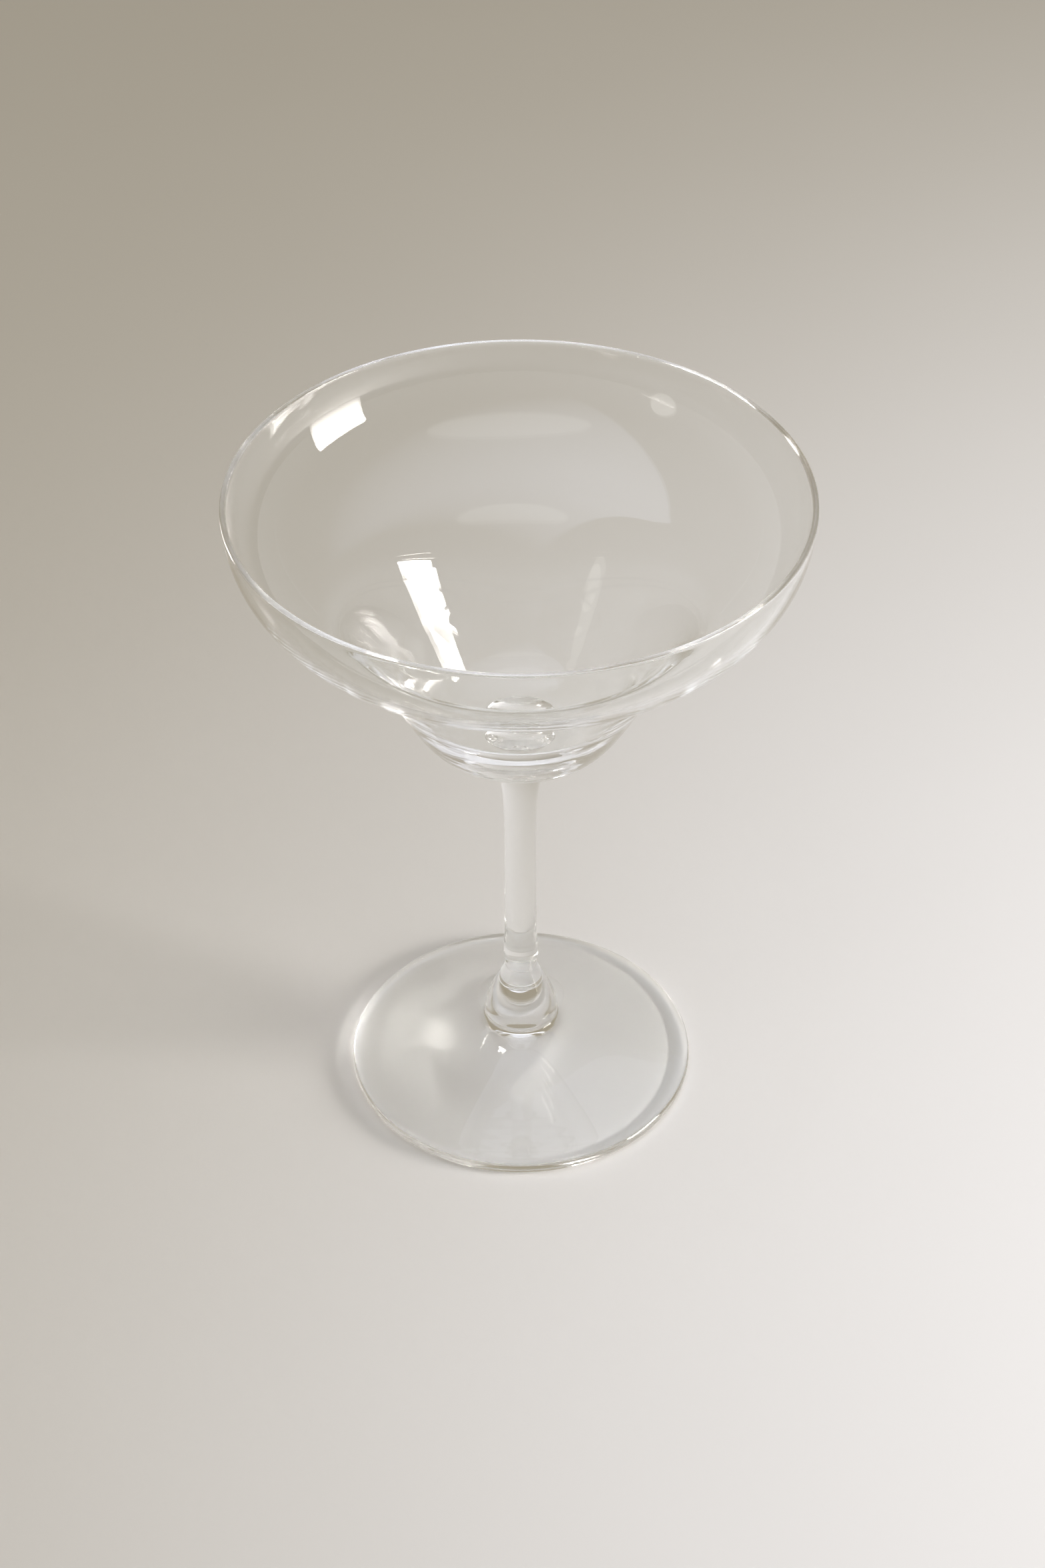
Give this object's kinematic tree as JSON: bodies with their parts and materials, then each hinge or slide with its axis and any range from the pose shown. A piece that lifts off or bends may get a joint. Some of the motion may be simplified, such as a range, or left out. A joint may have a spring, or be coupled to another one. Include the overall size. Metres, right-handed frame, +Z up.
{
  "type": "stemmed cocktail glass",
  "caption": "Clear stemmed cocktail glass: a wide open saucer over a small cone-shaped well, on a slim stem and a broad domed foot.",
  "frame": {"origin": "centre of the resting plane under the foot, on the glass's axis", "axes": "+Z up along the axis of the stem, from the table towards the lip; X and Y are any two level directions at right angles, because the glass is round"},
  "size_m": [0.116, 0.116, 0.151],
  "materials": {
    "clear_glass": "colourless fire-polished glass, smooth and clear, with faint blowing waves"
  },
  "bodies": {
    "root": {"bowl": "clear_glass", "stem": "clear_glass", "foot": "clear_glass"}
  },
  "joints": []
}
